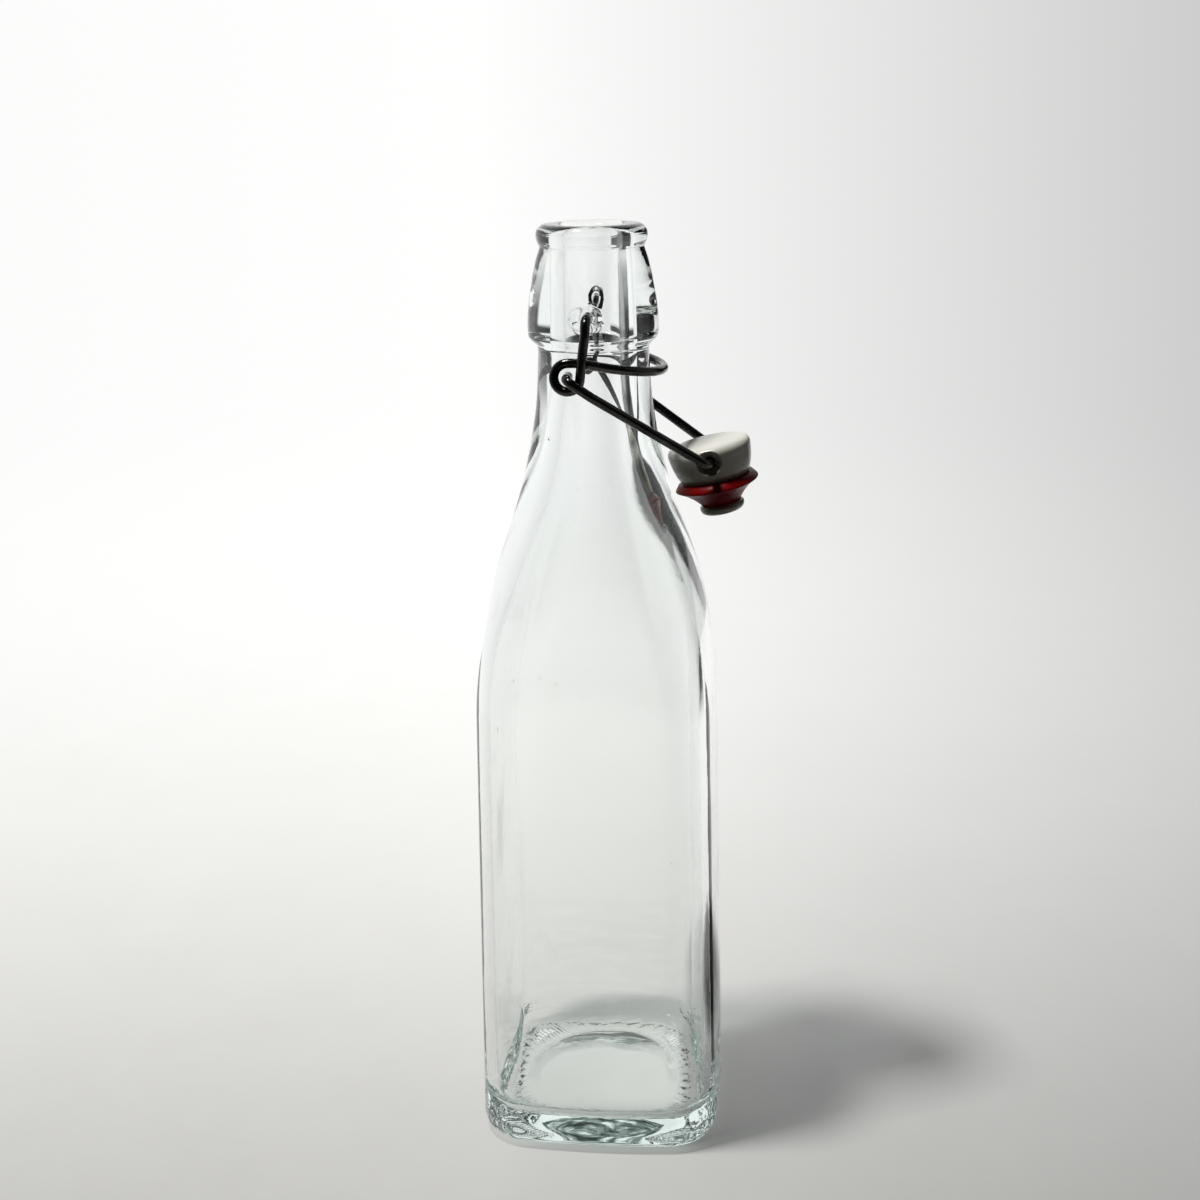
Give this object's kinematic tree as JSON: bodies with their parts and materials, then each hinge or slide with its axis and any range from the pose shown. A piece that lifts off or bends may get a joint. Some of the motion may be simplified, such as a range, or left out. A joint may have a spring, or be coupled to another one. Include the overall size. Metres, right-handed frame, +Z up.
{
  "type": "swing-top bottle",
  "caption": "Clear glass square-bodied bottle with a round neck and a wire swing-top closure carrying a white stopper with a red rubber gasket, shown open.",
  "frame": {"origin": "middle of the base, on the ground plane", "axes": "+Z up along the bottle's axis, +X towards the handle and the open stopper, Y parallel to the closure's pivot axis"},
  "size_m": [0.0766, 0.0644, 0.2432],
  "materials": {
    "clear_glass": "clear flint glass with a faint green tint where it is thick",
    "spring_wire": "dark oiled spring-steel wire with a soft shine",
    "white_stopper": "smooth warm-white moulded stopper, lightly worn",
    "red_rubber": "dark red smooth rubber"
  },
  "bodies": {
    "bottle": {"bottle": "clear_glass"},
    "lever": {"lever_wire": "spring_wire"},
    "bail": {"bail_wire": "spring_wire"},
    "stopper": {"stopper": "white_stopper", "gasket": "red_rubber"}
  },
  "joints": [
    {"name": "lever_pivot", "type": "hinge", "parent": "bottle", "child": "lever", "pos_m": [0, 0, 0.2192], "axis": [0, -1, 0], "range_deg": [0, 84]},
    {"name": "bail_pivot", "type": "hinge", "parent": "lever", "child": "bail", "pos_m": [-0.0052, 0, 0.2039], "axis": [0, -1, 0], "range_deg": [0, 53]},
    {"name": "stopper_pivot", "type": "hinge", "parent": "bail", "child": "stopper", "pos_m": [0.03151, 0, 0.17928], "axis": [0, -1, 0], "range_deg": [0, 187]}
  ]
}
